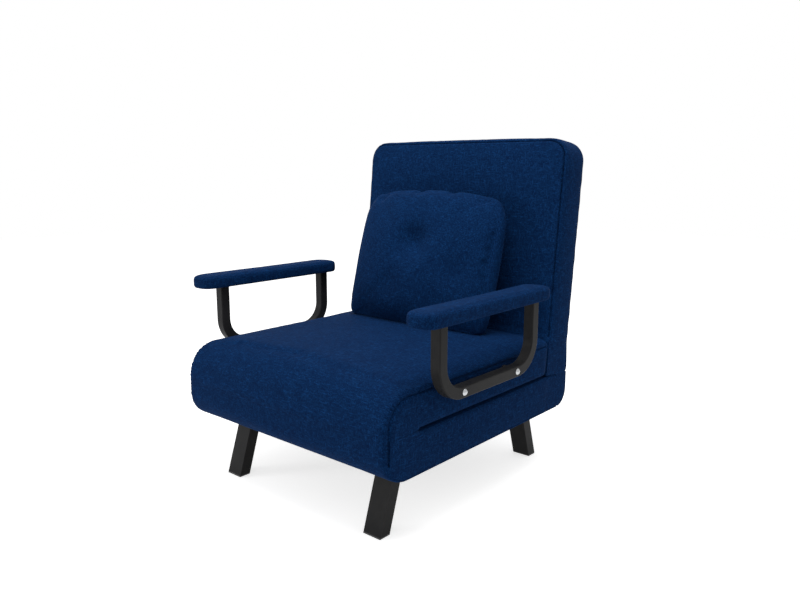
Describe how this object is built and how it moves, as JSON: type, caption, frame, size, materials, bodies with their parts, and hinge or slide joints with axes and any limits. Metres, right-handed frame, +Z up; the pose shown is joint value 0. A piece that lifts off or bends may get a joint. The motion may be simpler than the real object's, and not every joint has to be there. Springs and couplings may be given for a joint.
{
  "type": "convertible reclining armchair",
  "caption": "Upholstered armchair on splayed tube legs with padded bent-tube arms and a loose pillow; its back reclines and its seat flips forward to make a bed.",
  "frame": {"origin": "on the floor, under the middle of the overall box", "axes": "+Z up, the chair faces -Y, +X is the sitter's left"},
  "size_m": [0.78, 0.7641, 0.8206],
  "materials": {
    "navy_fabric": "matt short-pile weave",
    "black_steel": "satin powder coat",
    "frame_steel": "matt paint",
    "zinc_steel": "zinc plate",
    "bright_steel": "polished",
    "plywood": "bare ply",
    "black_plastic": "moulded",
    "dust_cloth": "non-woven cloth"
  },
  "bodies": {
    "base": {"base_frame": "frame_steel", "base_deck": "plywood", "base_cushion": "navy_fabric", "base_dust_cover": "dust_cloth", "front_pad": "navy_fabric", "rear_corner_pad": "navy_fabric", "leg_front_left": "black_steel", "leg_front_right": "black_steel", "leg_rear_left": "black_steel", "leg_rear_right": "black_steel", "leg_cap_front_left": "black_plastic", "leg_cap_front_right": "black_plastic", "leg_cap_rear_left": "black_plastic", "leg_cap_rear_right": "black_plastic", "leg_bolts": "zinc_steel", "flip_hinge_base_plate_left": "zinc_steel", "flip_hinge_base_plate_right": "zinc_steel", "flip_pivot_left": "zinc_steel", "flip_pivot_right": "zinc_steel", "recline_hinge_base_plate_left": "zinc_steel", "recline_hinge_base_plate_right": "zinc_steel", "recline_pivot_left": "zinc_steel", "recline_pivot_right": "zinc_steel", "recline_ratchet_left": "black_plastic", "recline_ratchet_right": "black_plastic", "hinge_screws_base": "zinc_steel"},
    "seat": {"seat_frame": "frame_steel", "seat_board": "plywood", "seat_top_cushion": "navy_fabric", "seat_under_cushion": "navy_fabric", "flip_hinge_seat_plate_left": "zinc_steel", "flip_hinge_seat_plate_right": "zinc_steel", "hinge_screws_seat": "zinc_steel", "arm_frame_left": "black_steel", "arm_frame_right": "black_steel", "arm_pad_left": "navy_fabric", "arm_pad_right": "navy_fabric", "arm_pad_board_left": "plywood", "arm_pad_board_right": "plywood", "arm_pad_screws": "zinc_steel", "arm_bolts": "bright_steel", "arm_spacers": "black_steel", "arm_nuts": "zinc_steel"},
    "back": {"back_frame": "frame_steel", "back_board": "plywood", "back_front_cushion": "navy_fabric", "back_rear_cushion": "navy_fabric", "recline_hinge_back_plate_left": "zinc_steel", "recline_hinge_back_plate_right": "zinc_steel", "hinge_screws_back": "zinc_steel"},
    "pillow": {"pillow": "navy_fabric"}
  },
  "joints": [
    {"name": "seat_flip", "type": "hinge", "parent": "base", "child": "seat", "pos_m": [0, -0.366, 0.243], "axis": [1, 0, 0], "range_deg": [0, 180], "deforming": ["front_pad", "pillow"]},
    {"name": "back_recline", "type": "hinge", "parent": "base", "child": "back", "pos_m": [0, 0.25305, 0.203], "axis": [-1, 0, 0], "range_deg": [0, 84.1], "deforming": ["rear_corner_pad"]},
    {"name": "pillow_lift", "type": "slide", "parent": "back", "child": "pillow", "axis": [0, 0.1028, 0.9947], "range_m": [0, 0.2]}
  ]
}
